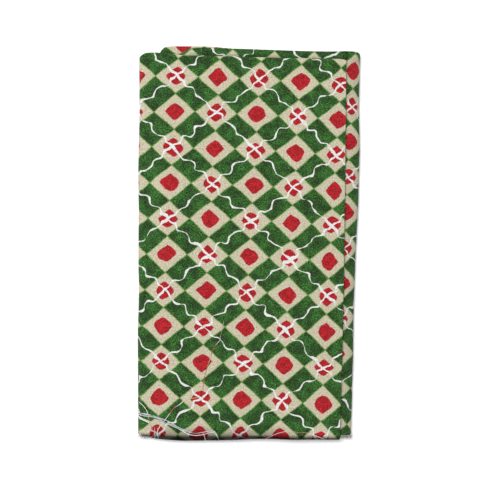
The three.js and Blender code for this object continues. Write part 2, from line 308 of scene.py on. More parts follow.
def cloth_middle():
    """Middle of the thin cloth over the grid, its painted shade where it bends down over the raw ends at -Y
    and in the cover's crevices, and its print coordinates.

    Along the roll it follows `roll`. Across, each half lies at its own offset from the middle of the
    doubled cloth and is straight but for the stretch that bends down round HANG_RADIUS, and the first fold
    is half a circle between them. A soft ripple moves it along its normal."""
    at, length, length_at = places_along()
    edge, rise, turn = places_across()
    at_rows = length_at(column(ENDS, END_COLUMNS, "at"))

    def end(name):
        return smooth_read(length, at_rows, column(ENDS, END_COLUMNS, name), END_SMOOTHING)[:, None]

    fold_top = end("fold") - PAIR / 2
    hang = end("hang")
    flat_length = fold_top - end("outer")
    edge_start = flat_length - np.maximum(hang, EDGE_LENGTH)
    raw_end = fold_top - np.where(turn > math.pi / 2, end("inner"), end("outer"))
    down = np.where(edge > 0, edge_start + (raw_end - edge_start) * edge, edge_start * (1 - rise))
    beyond = down - (flat_length - hang)
    past = np.maximum(0, beyond)
    lean = np.minimum(past / HANG_RADIUS, HANG_ANGLE)
    tail = past - lean * HANG_RADIUS
    y = fold_top - np.minimum(down, flat_length - hang) - HANG_RADIUS * np.sin(lean) - tail * np.cos(lean)
    height = -HANG_RADIUS * (1 - np.cos(lean)) - tail * np.sin(lean)

    inward = (1 - np.cos(turn)) / 2
    reach = OUTER_OFFSET + (INNER_OFFSET - OUTER_OFFSET) * inward
    across = np.where(turn > math.pi / 2, 1, -1) * down + TURN_LENGTH * (turn - math.pi / 2)
    swell = sum(ripple(length[:, None], across, *row) for row in RIPPLES)
    outward = reach * np.cos(turn) + swell
    y = y - outward * np.sin(lean) + OUTER_OFFSET * np.sin(turn)
    height = height + outward * np.cos(lean)

    x, z = roll(at[:, None], y)
    nx, nz = roll_normal(at[:, None], y)
    settle = 1 - smoothstep(0, FLAP_SETTLE_REACH, length)[:, None]
    height = height - settle * FLAP_SETTLE * (1 - 0.5 * inward)
    middle = np.stack([x + height * nx, np.broadcast_to(y, x.shape), z + height * nz], axis=-1)
    middle[..., 2] = np.maximum(middle[..., 2], CLOTH / 2)
    # Painted shade, darker towards the bend over the raw ends at -Y where an end is long enough, and in the
    # cover's crevices
    turned = smoothstep(-PAINTED_HEM_SHADE_REACH, PAINTED_HEM_SHADE_REACH, beyond) * (hang > LEAST_SHADED_HANG)
    painted_darkening = turned + painted_shade_by_flap(at[:, None], middle)
    return middle, painted_darkening, print_place(at[:, None], y, x, z, end("fold"), down, turn)


def painted_shade_by_flap(at, middle):
    """Painted shade on the cover: dark in its crevice right beside the flap's free edge and right beyond the
    flap's fold, and a little darker over all of the cover beside the flap.
    """
    x, y = middle[..., 0], middle[..., 1]
    flap_x = stop("flap", y, 0)
    flap_at = np.clip((flap_x - x) / (flap_x - stop("left", y, 0)), 0, 1)
    flap_y = np.interp(flap_at, column(ENDS, END_COLUMNS, "at"), column(ENDS, END_COLUMNS, "fold"))
    beside = (PAINTED_COVER_SHADE + smoothstep(PAINTED_CREVICE_REACH[0], 0, x - flap_x)) * (x > flap_x - PAINTED_CREVICE_OVERLAP)
    beyond = smoothstep(PAINTED_CREVICE_REACH[1], 0, y - flap_y) * (y > flap_y - PAINTED_CREVICE_OVERLAP)
    return PAINTED_CREVICE_STRENGTH * np.maximum(beside, beyond) * (at > COVER_FROM)


def print_place(at, y, x, z, fold, down, turn):
    """Where each point lies in the print, in millimetres: x across the roll and y from the first fold.

    Along the roll it falls by the length of cloth, from x at the flap's free edge. In the hidden base it is
    eased over to COVER_EASE, and round the inner fold by TAIL_EASE more, so that the print shows on the
    cover and on the tail where it does on the real one. Over the top of the right fold the cloth is taken
    a little longer than it is, COVER_STRETCH times the square of the length from the cover."""
    steps = np.hypot(np.diff(x, axis=0), np.diff(z, axis=0))
    walked = np.concatenate([np.zeros((1, x.shape[1])), np.cumsum(steps, axis=0)])
    first = int(np.argmax(at[:, 0] >= COVER_SECTION))
    back = np.clip(walked[first] - walked, 0, COVER_STRETCH_REACH)
    plain = x[:1] - walked
    shear = COVER_SHEAR * (COVER_SHEAR_START - y) + COVER_BEND[1] * np.maximum(0, COVER_BEND[0] - y) ** 2
    cover = x[first] + COVER_EASE[0] + shear - (walked - walked[first])
    on_cover = smoothstep(*ONTO_COVER, at)
    on_tail = smoothstep(*ONTO_TAIL, at)
    part_x = np.clip((x - FLAP_PULL_MIDDLE[0]) / FLAP_PULL_SIZE[0], -1.2, 1.2)
    part_y = (y - FLAP_PULL_MIDDLE[1]) / FLAP_PULL_SIZE[1]
    terms = (1, part_x, part_y, part_x * part_y, part_x ** 2, part_y ** 2)
    on_flap = 1 - smoothstep(*OFF_FLAP, at)
    pull_x, pull_y = (on_flap * sum(a * b for a, b in zip(row, terms)) for row in FLAP_PULL)
    across = plain + on_cover * (cover + COVER_STRETCH * back ** 2 - plain) + on_tail * TAIL_EASE[0] - pull_x
    fold_line = fold + on_cover * COVER_EASE[1] + on_tail * TAIL_EASE[1] - pull_y
    inner = turn > math.pi / 2
    quarter = math.pi / 2 - np.where(inner, math.pi - turn, turn)
    depth = fold_line + np.where(inner, 1, -1) * (down + quarter * PAIR / 2)
    return np.stack([across, depth], axis=-1)


def grid_normals(points):
    """Unit normals of a grid of points, on the side that faces out of the roll: the cross product of the
    steps across and along."""
    along, across = np.gradient(points, axis=0), np.gradient(points, axis=1)
    normal = np.cross(across, along)
    return normal / np.linalg.norm(normal, axis=-1, keepdims=True)


def show(name, mesh):
    """A finished mesh as an object of the scene."""
    mesh.validate()
    piece = bpy.data.objects.new(name, mesh)
    bpy.context.scene.collection.objects.link(piece)
    return piece


def make_mesh(name, points, faces, materials, material_index=None):
    """A mesh object in metres from points in millimetres and faces of one size."""
    mesh = bpy.data.meshes.new(name)
    sides = faces.shape[1]
    mesh.vertices.add(len(points))
    mesh.vertices.foreach_set("co", (points * MM).astype(np.float32).ravel())
    mesh.loops.add(faces.size)
    mesh.loops.foreach_set("vertex_index", faces.astype(np.int32).ravel())
    mesh.polygons.add(len(faces))
    mesh.polygons.foreach_set("loop_start", np.arange(0, faces.size, sides, dtype=np.int32))
    mesh.polygons.foreach_set("use_smooth", np.ones(len(faces), dtype=bool))
    for material in materials:
        mesh.materials.append(material)
    if material_index is not None:
        mesh.polygons.foreach_set("material_index", material_index.astype(np.int32))
    mesh.update(calc_edges=True)
    return show(name, mesh)


def set_map(piece, name, values):
    """A UV map from one pair of numbers for each vertex."""
    layer = piece.data.uv_layers.new(name=name)
    loops = np.zeros(len(piece.data.loops), dtype=np.int32)
    piece.data.loops.foreach_get("vertex_index", loops)
    layer.data.foreach_set("uv", values[loops].astype(np.float32).ravel())


def grid_quads(rows, columns, start, flip):
    """Four corners of each cell of a grid whose points are numbered row by row from `start`."""
    i, j = np.meshgrid(np.arange(rows - 1), np.arange(columns - 1), indexing="ij")
    a = (start + i * columns + j).ravel()
    quads = np.stack([a, a + 1, a + columns + 1, a + columns], axis=1)
    return quads[:, ::-1] if flip else quads


def make_cloth(printed, plain):
    """The closed cloth: the grid moved out along its normals for the printed face, in for the plain one."""
    middle, painted_darkening, place = cloth_middle()
    normal = grid_normals(middle)
    rows, columns = middle.shape[:2]
    count = rows * columns
    points = np.concatenate([(middle + side * normal * CLOTH / 2).reshape(-1, 3) for side in (1, -1)])
    points[:, 2] = np.maximum(points[:, 2], 0)
    number = np.arange(count).reshape(rows, columns)
    rim = np.concatenate([number[0, :], number[1:, -1], number[-1, -2::-1], number[-2:0:-1, 0]])
    after = np.roll(rim, -1)
    rim_quads = np.stack([rim, rim + count, after + count, after], axis=1)
    faces = np.concatenate([
        grid_quads(rows, columns, 0, False),
        grid_quads(rows, columns, count, True),
        rim_quads,
    ])
    sides = np.concatenate([
        np.zeros((rows - 1) * (columns - 1)),
        np.ones((rows - 1) * (columns - 1)),
        np.ones(len(rim)),
    ])
    cloth = make_mesh("printed_cotton_cloth", points, faces, [printed, plain], sides)
    flat = place.reshape(-1, 2) * MM
    set_map(cloth, "cloth", np.concatenate([flat, flat]))
    # The painted shade, kept for the material as a point attribute
    turned = cloth.data.attributes.new("painted_shade", "FLOAT", "POINT")
    turned.data.foreach_set("value", np.tile(painted_darkening.ravel(), 2).astype(np.float32))
    return cloth, middle


def rods(name, paths, widths, colours, sides, material):
    """Thin round rods as one closed mesh. Each path is a row of points, each width a row of radii, in
    millimetres, and each colour a row of scene-linear colours, kept as the attribute "dye"."""
    count, steps = paths.shape[:2]
    along = np.gradient(paths, axis=1)
    along /= np.linalg.norm(along, axis=-1, keepdims=True)
    side = np.cross(along, (0.31, 0.17, 0.93))
    side /= np.linalg.norm(side, axis=-1, keepdims=True)
    up = np.cross(side, along)
    angles = np.arange(sides) * (2 * math.pi / sides)
    ring = side[:, :, None] * np.cos(angles)[:, None] + up[:, :, None] * np.sin(angles)[:, None]
    points = paths[:, :, None] + ring * widths[:, :, None, None]
    number = np.arange(count * steps * sides).reshape(count, steps, sides)
    a, b = number[:, :-1], number[:, 1:]
    quads = np.stack([a, np.roll(a, -1, 2), np.roll(b, -1, 2), b], axis=-1).reshape(-1, 4)
    ends = [number[:, 0, ::-1], number[:, -1]]
    mesh = bpy.data.meshes.new(name)
    faces = quads.tolist() + [row.tolist() for end in ends for row in end]
    mesh.from_pydata((points.reshape(-1, 3) * MM).tolist(), [], faces)
    mesh.polygons.foreach_set("use_smooth", np.ones(len(faces), dtype=bool))
    mesh.materials.append(material)
    dye_and_painted_shade = mesh.attributes.new("dye_and_painted_shade", "FLOAT_COLOR", "POINT")
    dye_and_painted_shade.data.foreach_set("color", np.repeat(colours, sides, axis=1).astype(np.float32).ravel())
    mesh.update(calc_edges=True)
    return show(name, mesh)


def smooth_path(points, steps):
    """Points at equal steps along a smooth curve through the given ones (Catmull-Rom), and its length."""
    points = np.asarray(points, dtype=float)
    padded = np.concatenate([[2 * points[0] - points[1]], points, [2 * points[-1] - points[-2]]])
    place = np.linspace(0, len(points) - 1, 400)
    index = np.minimum(place.astype(int), len(points) - 2)
    t = (place - index)[:, None]
    a, b, c, d = (padded[index + k] for k in range(4))
    square, cube = 2 * a - 5 * b + 4 * c - d, 3 * b - a - 3 * c + d
    curve = 0.5 * (2 * b + (c - a) * t + square * t ** 2 + cube * t ** 3)
    length = np.concatenate([[0], np.cumsum(np.linalg.norm(np.diff(curve, axis=0), axis=1))])
    even = np.linspace(0, length[-1], steps)
    return np.stack([np.interp(even, length, curve[:, k]) for k in range(curve.shape[1])], axis=1), length[-1]


def surface_height(tree, x, y):
    """Height of the cloth below each point, in millimetres. Beyond its edge, a thread falls by THREAD_FALL
    from point to point, down to near the table."""
    heights = []
    last = THREAD_START
    for px, py in zip(x, y):
        hit = tree.ray_cast(Vector((px * MM, py * MM, RAY_START * MM)), Vector((0, 0, -1)))[0]
        last = hit.z / MM if hit is not None else max(THREAD_LOWEST, last - THREAD_FALL)
        heights.append(last)
    return np.array(heights)


def lay_strand(tree, draw, thread, strand):
    """Points, radii and colours of one strand of a thread, at equal steps along it.

    It follows the thread's route, swings to either side of it by a sine, and rises by the cosine of the same
    turn, so that the strands of a bundle pass over each other. Most strands of a bundle are cut short."""
    flat, length = smooth_path(thread["route"], THREAD_STEPS)
    cut = 1.0
    if thread["strands"] > 2:
        cut = draw.uniform(*SHORT_CUT) if strand % 3 else draw.uniform(*LONG_CUT)
    share = np.linspace(0, 1, THREAD_STEPS)
    flat = np.stack([np.interp(share * cut, share, flat[:, k]) for k in range(2)], axis=1)
    along = np.gradient(flat, axis=0)
    along /= np.linalg.norm(along, axis=1, keepdims=True)
    turn = share * length / TWIST_LENGTH + 2 * math.pi * strand / thread["strands"] + draw.uniform(-0.5, 0.5)
    spread = thread["spread"] * (0.6 + 0.8 * share * (1 - share) + 0.5 * smoothstep(0.88, 1.0, share))
    flat = flat + np.stack([-along[:, 1], along[:, 0]], axis=1) * (np.sin(turn) * spread)[:, None]
    lie = surface_height(tree, flat[:, 0], flat[:, 1])
    lie = np.convolve(np.pad(lie, 2, mode="edge"), np.ones(5) / 5, mode="valid")
    radius = thread["radius"] * (0.85 + 0.3 * np.sin(share * 23 + strand) ** 2)
    radius = radius * np.clip(np.minimum(share, 1 - share) * 14 + 0.35, 0, 1)
    over = radius * 0.9 + THREAD_GAP + (1 + np.cos(turn)) * spread * 0.4
    dyes = thread["dyes"][strand % len(thread["dyes"])]
    stops = [part for part, _ in dyes]
    shades = np.array([shade for _, shade in dyes])
    colours = np.stack([np.interp(share, stops, shades[:, k]) for k in range(4)], axis=1)
    return np.concatenate([flat, (lie + over)[:, None]], axis=1), radius, colours


def make_threads(cloth):
    """Ravelled threads that lie over the flap, each along its route on the cloth's own surface."""
    tree = BVHTree.FromPolygons(
        [vertex.co for vertex in cloth.data.vertices], [tuple(face.vertices) for face in cloth.data.polygons]
    )
    draw = np.random.default_rng(5)
    strands = [
        lay_strand(tree, draw, thread, strand) for thread in THREADS for strand in range(thread["strands"])
    ]
    paths, widths, colours = (np.array(part) for part in zip(*strands))
    return rods("loose_threads", paths, widths, colours, 6, thread_material("ravelled_cotton"))


def edge_fibres(draw, edge, inside, amount):
    """Fibres at random places along a raw edge. Each heads out of the cloth, from the points next to the edge
    through it, and bends off by the square of its length. They are longer at the two corners beyond the side
    folds. On the flap's end that bends down they take mostly green dyes, darkened by painted shade."""
    length = np.concatenate([[0], np.cumsum(np.linalg.norm(np.diff(edge, axis=0), axis=1))])
    place = draw.uniform(0, length[-1], amount)
    root, back = (
        np.stack([np.interp(place, length, line[:, k]) for k in range(3)], axis=1) for line in (edge, inside)
    )
    out = (root - back) / np.linalg.norm(root - back, axis=1, keepdims=True)
    out = out + draw.normal(0, 0.38, out.shape)
    out /= np.linalg.norm(out, axis=1, keepdims=True)
    corner = (np.abs(root[:, 0]) > CORNER_X) & (root[:, 1] < CORNER_Y)
    reach = draw.uniform(*FIBRE_LENGTH, amount) * np.where(corner, CORNER_LONGER, 1.0)
    part = np.linspace(0, 1, FIBRE_POINTS)
    bend = draw.normal(0, 0.22, (amount, 3)) * reach[:, None]
    straight = out[:, None] * (reach[:, None] * part)[..., None]
    path = root[:, None] + straight + bend[:, None] * (part ** 2)[:, None]
    path[..., 2] = np.maximum(path[..., 2], 0.1)
    width = draw.uniform(*FIBRE_RADIUS, amount)[:, None] * (1 - 0.7 * part)
    palette = np.array(FRAY_DYES)
    pale = palette[draw.choice(len(palette), amount, p=FRAY_SHARES)]
    hanging_dye = palette[draw.choice(len(palette), amount, p=HANGING_FRAY_SHARES)]
    hanging = (root[:, 2] > HANGING_Z) & (root[:, 1] < HANGING_Y) & ~corner
    # Painted shade on the fibres of the flap's end that bends down
    dye_and_painted_shade = np.where(hanging[:, None], hanging_dye * HANGING_FRAY_PAINTED_SHADE, pale)
    return path, width, np.repeat(dye_and_painted_shade[:, None], len(part), axis=1)


def corner_tuft(draw, low, high):
    """A loose tuft at the raw ends of a side fold, from x `low` to `high`. Each fibre sets out near -Y and
    its heading turns evenly along it."""
    amount = TUFT_FIBRES
    root_x = draw.uniform(low, high, amount)
    root_y = draw.uniform(*TUFT_ROOT_Y, amount)
    root = np.stack([root_x, root_y, draw.uniform(*TUFT_ROOT_Z, amount)], axis=1)
    heading = draw.normal(-math.pi / 2, 0.55, amount)
    part = np.linspace(0, 1, FIBRE_POINTS)
    reach = draw.uniform(*TUFT_LENGTH, amount)
    turned = heading[:, None] + draw.normal(0, 0.5, amount)[:, None] * part
    rise = np.repeat(draw.normal(-0.15, 0.35, amount)[:, None], len(part), axis=1)
    step = np.stack([np.cos(turned), np.sin(turned), rise], axis=-1)
    path = root[:, None] + step * (reach[:, None] * part)[..., None]
    path[..., 2] = np.maximum(path[..., 2], 0.15)
    path[..., 1] = np.maximum(path[..., 1], TUFT_END)
    width = draw.uniform(*TUFT_RADIUS, amount)[:, None] * (1 - 0.6 * part)
    tints = np.array(TUFT_DYES_AND_SHADES)
    dye_and_painted_shade = tints[draw.choice(len(tints), amount, p=TUFT_SHARES)]
    return path, width, np.repeat(dye_and_painted_shade[:, None], len(part), axis=1)


def make_fray(middle):
    """Short fibres that stick out all along the raw edges, and a tuft at each corner at -Y."""
    draw = np.random.default_rng(8)
    half = middle.shape[1] // 2
    tufts = [edge_fibres(draw, *row) for row in (
        (middle[:, 0], middle[:, 1], 1500),
        (middle[:, -1], middle[:, -2], 900),
        (middle[0, :half], middle[1, :half], 150),
        (middle[-1, :half], middle[-2, :half], 120),
    )]
    tufts += [corner_tuft(draw, *span) for span in TUFT_SPANS]
    paths, widths, colours = (np.concatenate(part) for part in zip(*tufts))
    return rods("raw_edge_fray", paths, widths, colours, 3, thread_material("frayed_cotton"))


class Field:
    """A number or vector in a shader, so that a pattern worked out by Math nodes is written as a sum is."""

    def __init__(self, tree, socket):
        self.tree, self.socket = tree, socket

    def math(self, operation, *values):
        """This number and any others through one Math node."""
        made = self.tree.nodes.new("ShaderNodeMath")
        made.operation = operation
        for socket, value in zip(made.inputs, (self, *values)):
            feed(self.tree, socket, value)
        return Field(self.tree, made.outputs[0])

    def __add__(self, other):
        return self.math("ADD", other)

    def __sub__(self, other):
        return self.math("SUBTRACT", other)

    def __mul__(self, other):
        return self.math("MULTIPLY", other)

    def soft_above(self, low, high):
        """0 below `low`, 1 above `high` and a soft S between."""
        made = self.tree.nodes.new("ShaderNodeMapRange")
        made.interpolation_type = "SMOOTHSTEP"
        feed(self.tree, made.inputs["Value"], self)
        feed(self.tree, made.inputs["From Min"], low)
        feed(self.tree, made.inputs["From Max"], high)
        return Field(self.tree, made.outputs["Result"])


def feed(tree, socket, value):
    """Links a field to a socket, or sets the socket to a plain value."""
    if isinstance(value, Field):
        tree.links.new(value.socket, socket)
    else:
        socket.default_value = value


def linear(red, green, blue):
    """Scene-linear colour of an sRGB one, each from 0 to 255."""
    part = np.array([red, green, blue]) / 255
    part = np.where(part <= 0.04045, part / 12.92, ((part + 0.055) / 1.055) ** 2.4)
    return (*part.tolist(), 1.0)


def mix(factor, below, above):
    """Colour `below` where the factor is 0 and `above` where it is 1."""
    tree = factor.tree
    made = tree.nodes.new("ShaderNodeMix")
    made.data_type = "RGBA"
    feed(tree, made.inputs[0], factor)
    feed(tree, made.inputs[6], below)
    feed(tree, made.inputs[7], above)
    return Field(tree, made.outputs[2])


def noise(place, scale, detail=2.0, roughness=0.5, colour=False):
    """Soft noise over a place, from 0 to 1, or three of them as a colour."""
    made = place.tree.nodes.new("ShaderNodeTexNoise")
    made.noise_dimensions = "3D"
    feed(place.tree, made.inputs["Vector"], place)
    feed(place.tree, made.inputs["Scale"], scale)
    feed(place.tree, made.inputs["Detail"], detail)
    feed(place.tree, made.inputs["Roughness"], roughness)
    return Field(place.tree, made.outputs["Color" if colour else "Fac"])


def vector(place, operation, other):
    """Vector maths on a place."""
    made = place.tree.nodes.new("ShaderNodeVectorMath")
    made.operation = operation
    feed(place.tree, made.inputs[0], place)
    feed(place.tree, made.inputs[3 if operation == "SCALE" else 1], other)
    return Field(place.tree, made.outputs[0])


def parts_of(place):
    """The x and y of a vector."""
    made = place.tree.nodes.new("ShaderNodeSeparateXYZ")
    feed(place.tree, made.inputs[0], place)
    return Field(place.tree, made.outputs[0]), Field(place.tree, made.outputs[1])


def joined(x, y, z=0.0):
    """A vector from its parts."""
    made = x.tree.nodes.new("ShaderNodeCombineXYZ")
    for socket, value in zip(made.inputs, (x, y, z)):
        feed(x.tree, socket, value)
    return Field(x.tree, made.outputs[0])


def wander(place, scale, detail, amount):
    """A soft push away from a place: `amount` times three noises that run from -0.5 to 0.5."""
    push = vector(noise(place, scale, detail, colour=True), "SUBTRACT", (0.5, 0.5, 0.5))
    return vector(push, "SCALE", amount)


# Colours of the print and the cloth
GREEN_DARK = linear(38, 68, 27)
GREEN_LIGHT = linear(55, 106, 42)
GREEN_FRINGE = linear(150, 186, 108)
CREAM = linear(212, 204, 178)
CREAM_PINK = linear(222, 186, 170)
CREAM_GREEN = linear(184, 198, 160)
RED = linear(188, 32, 40)
RED_DARK = linear(160, 22, 30)
WHITE = linear(240, 239, 235)
PLAIN_SIDE = linear(186, 188, 182)
CLOTH_TONE = 0.74
PAINTED_SHADE_STRENGTH = 0.91  # how strongly the painted shade darkens the cloth, where it bends down over the raw ends and in the cover's crevices

# Fray: lengths and radii of its fibres in millimetres, and its tufts. A raw edge is at a corner beyond
# CORNER_X on either side and below CORNER_Y. It is on the flap's end that bends down above HANGING_Z and
# below HANGING_Y
CORNER_X = 60.0
CORNER_Y = -118.0
HANGING_Z = 4.0
HANGING_Y = -124.0
FIBRE_LENGTH = (0.25, 0.9)
FIBRE_RADIUS = (0.05, 0.09)
FIBRE_POINTS = 4
CORNER_LONGER = 2.4
TUFT_FIBRES = 95
TUFT_SPANS = ((-71.5, -61.0), (61.0, 67.0))
TUFT_ROOT_Y = (-126.2, -125.0)
TUFT_ROOT_Z = (0.4, 6.5)
TUFT_LENGTH = (0.8, 3.4)
TUFT_RADIUS = (0.07, 0.15)
TUFT_END = -128.6  # y that no fibre of a tuft passes

# Ravelled threads: how they are cut, twist and lie, all lengths in millimetres
THREAD_STEPS = 90
SHORT_CUT = (0.58, 0.74)  # shares of the route that the strands of a bundle reach
LONG_CUT = (0.96, 1.0)  # and every third one
TWIST_LENGTH = 9.0  # for each radian
THREAD_GAP = 0.12  # between a thread and the cloth
THREAD_START = 9.0  # height that a thread falls from if its route starts off the cloth
THREAD_FALL = 1.2
THREAD_LOWEST = 0.4
RAY_START = 50.0  # height above the whole bundle from which the cloth is looked for

# Their routes over the flap in x and y, the strands of a bundle and how far they spread, and the colour of
# each strand at shares of its length: its dye, or grey and slate for white yarn in painted shade
THREAD_WHITE = linear(228, 230, 226)
# Grey and slate: white yarn in painted shade, on threads, strands of the bundle and the tufts
THREAD_SHADE_GREY = linear(128, 146, 162)
THREAD_SHADE_SLATE = linear(84, 100, 124)
THREAD_RED = linear(196, 74, 74)
THREAD_GREEN = linear(112, 138, 78)
THREAD_PALE_GREEN = linear(176, 200, 158)
FRAY_DYES = (
    linear(232, 230, 222), linear(210, 206, 190), linear(72, 104, 58), linear(150, 176, 128),
    linear(178, 60, 60),
)
FRAY_SHARES = (0.40, 0.34, 0.10, 0.12, 0.04)
HANGING_FRAY_SHARES = (0.08, 0.12, 0.60, 0.10, 0.10)
# painted shade on those fibres: their dye times this
HANGING_FRAY_PAINTED_SHADE = 0.3
# The tufts' grey and slate are white yarn in painted shade
TUFT_DYES_AND_SHADES = (THREAD_WHITE, THREAD_SHADE_GREY, THREAD_SHADE_SLATE, THREAD_RED, THREAD_GREEN)
TUFT_SHARES = (0.34, 0.30, 0.18, 0.13, 0.05)
THREADS = [
    dict(radius=0.17, strands=1, spread=0.0,
         route=[(-15.9, -50.1), (-18.2, -61.1), (-18.5, -63.1), (-22.4, -67.6), (-24.1, -72.2),
                (-25.4, -76.7), (-27.0, -81.2), (-28.6, -87.1), (-29.6, -95.5)],
         dyes=[[(0.0, THREAD_PALE_GREEN), (0.2, THREAD_GREEN), (0.3, THREAD_WHITE), (0.38, THREAD_RED),
                (0.5, THREAD_RED), (0.55, THREAD_PALE_GREEN), (0.68, THREAD_GREEN), (0.8, THREAD_RED),
                (1.0, THREAD_RED)]]),
    dict(radius=0.2, strands=1, spread=0.0,
         route=[(-31.5, -100.1), (-38.0, -101.1), (-41.3, -102.0), (-44.5, -104.7), (-48.4, -107.2),
                (-51.0, -110.5), (-54.3, -115.0), (-57.5, -119.0), (-59.5, -122.9)],
         dyes=[[(0.0, THREAD_GREEN), (0.2, THREAD_PALE_GREEN), (0.3, THREAD_WHITE), (0.4, THREAD_WHITE),
                (0.48, THREAD_RED), (0.58, THREAD_RED), (0.64, THREAD_WHITE), (1.0, THREAD_WHITE)]]),
    dict(radius=0.2, strands=1, spread=0.0,
         route=[(-71.8, -103.4), (-68.6, -106.0), (-66.3, -109.2), (-65.3, -112.5), (-64.7, -115.7),
                (-63.1, -120.2), (-61.4, -122.9), (-62.7, -126.8)],
         dyes=[[(0.0, THREAD_WHITE), (0.42, THREAD_WHITE), (0.5, THREAD_RED), (1.0, THREAD_RED)]]),
    dict(radius=0.16, strands=6, spread=1.05,
         route=[(-72.2, -111.2), (-66.0, -112.1), (-60.8, -113.1), (-55.6, -115.0), (-49.7, -117.7),
                (-43.2, -121.2), (-38.0, -123.5), (-34.1, -124.2), (-29.6, -123.5), (-23.7, -122.2),
                (-21.1, -123.5), (-18.9, -128.1)],
         dyes=[[(0.0, THREAD_SHADE_SLATE), (0.6, THREAD_SHADE_SLATE), (0.78, THREAD_WHITE), (1.0, THREAD_WHITE)],
               [(0.0, THREAD_WHITE), (1.0, THREAD_WHITE)],
               [(0.0, THREAD_WHITE), (0.35, THREAD_SHADE_GREY), (0.8, THREAD_WHITE), (1.0, THREAD_WHITE)]]),
    dict(radius=0.18, strands=2, spread=0.35,
         route=[(-72.2, -112.8), (-67.9, -115.0), (-64.0, -116.4), (-60.1, -117.7)],
         dyes=[[(0.0, THREAD_WHITE), (1.0, THREAD_PALE_GREEN)]]),
    dict(radius=0.17, strands=1, spread=0.0,
         route=[(-61.1, -119.5), (-60.9, -124.2), (-61.1, -127.6), (-61.1, -129.2)],
         dyes=[[(0.0, THREAD_RED), (0.4, THREAD_WHITE), (1.0, THREAD_SHADE_GREY)]]),
    dict(radius=0.17, strands=1, spread=0.0,
         route=[(-59.0, -120.2), (-59.1, -124.8), (-58.8, -127.6), (-58.9, -129.2)],
         dyes=[[(0.0, THREAD_PALE_GREEN), (0.4, THREAD_WHITE), (1.0, THREAD_SHADE_GREY)]]),
    dict(radius=0.17, strands=1, spread=0.0,
         route=[(-29.6, -123.5), (-28.6, -125.5), (-28.3, -127.6), (-28.2, -129.2)],
         dyes=[[(0.0, THREAD_WHITE), (1.0, THREAD_WHITE)]]),
    dict(radius=0.13, strands=1, spread=0.0,
         route=[(10.1, -128.1), (14.6, -125.5), (19.2, -123.5), (25.7, -122.2), (32.2, -122.9),
                (37.4, -123.2), (41.9, -124.5), (45.8, -126.1), (49.7, -128.1)],
         dyes=[[(0.0, THREAD_RED), (0.3, THREAD_WHITE), (0.6, THREAD_RED), (0.8, THREAD_WHITE),
                (1.0, THREAD_WHITE)]]),
]

# Print: half sizes of a diamond and of a dot as shares of the lattice steps, and the wavy lines
DIAMOND = (0.477, 0.475)
DOT = (0.229, 0.25)
DOT_BULGE = 1.3  # 1 makes a dot a diamond, 2 an ellipse
WAVES = 3  # between two crossings
FALLING_LENGTH = math.hypot(LATTICE_ACROSS[0] + LATTICE_DOWN[0], LATTICE_ACROSS[1] + LATTICE_DOWN[1])
RISING_LENGTH = math.hypot(LATTICE_ACROSS[0] - LATTICE_DOWN[0], LATTICE_ACROSS[1] - LATTICE_DOWN[1])
LATTICE_AREA = abs(LATTICE_ACROSS[0] * LATTICE_DOWN[1] - LATTICE_ACROSS[1] * LATTICE_DOWN[0])


def lattice_place(place):
    """Where a point of the cloth, in millimetres, lies in the lattice of diamonds, in whole steps."""
    (ax, ay), (bx, by) = LATTICE_ACROSS, LATTICE_DOWN
    size = ax * by - bx * ay
    x, y = parts_of(place)
    x, y = x - LATTICE_START[0], y - LATTICE_START[1]
    return x * (by / size) + y * (-bx / size), x * (-ay / size) + y * (ax / size)


def wavy_line(steps_off, stride, length, place, seed):
    """How strongly a fine wavy line shows. It is straight where it crosses the other ones and swings between
    them, unevenly, and its width swells and fades to nothing here and there."""
    shifted = vector(place, "ADD", (seed, 0.0, seed * 0.37))
    uneven = noise(shifted, 0.05, 1.0) - 0.5
    broad = noise(shifted, 0.12, 1.0)
    from_crossing = stride.math("WRAP", 0.5, -0.5).math("ABSOLUTE") * length
    free = from_crossing.soft_above(1.8, 6.5)
    swing = (stride * (2 * math.pi * WAVES) + uneven * 5.0).math("SINE") * (broad * 1.5 + 0.45) * free
    across = (steps_off * (LATTICE_AREA / length) - swing).math("ABSOLUTE")
    width = (noise(shifted, 0.19, 1.0) - 0.25) * 1.85
    near_crossing = from_crossing.soft_above(7.0, 4.5) * 0.24
    return (across - width - near_crossing).soft_above(0.14, -0.14)


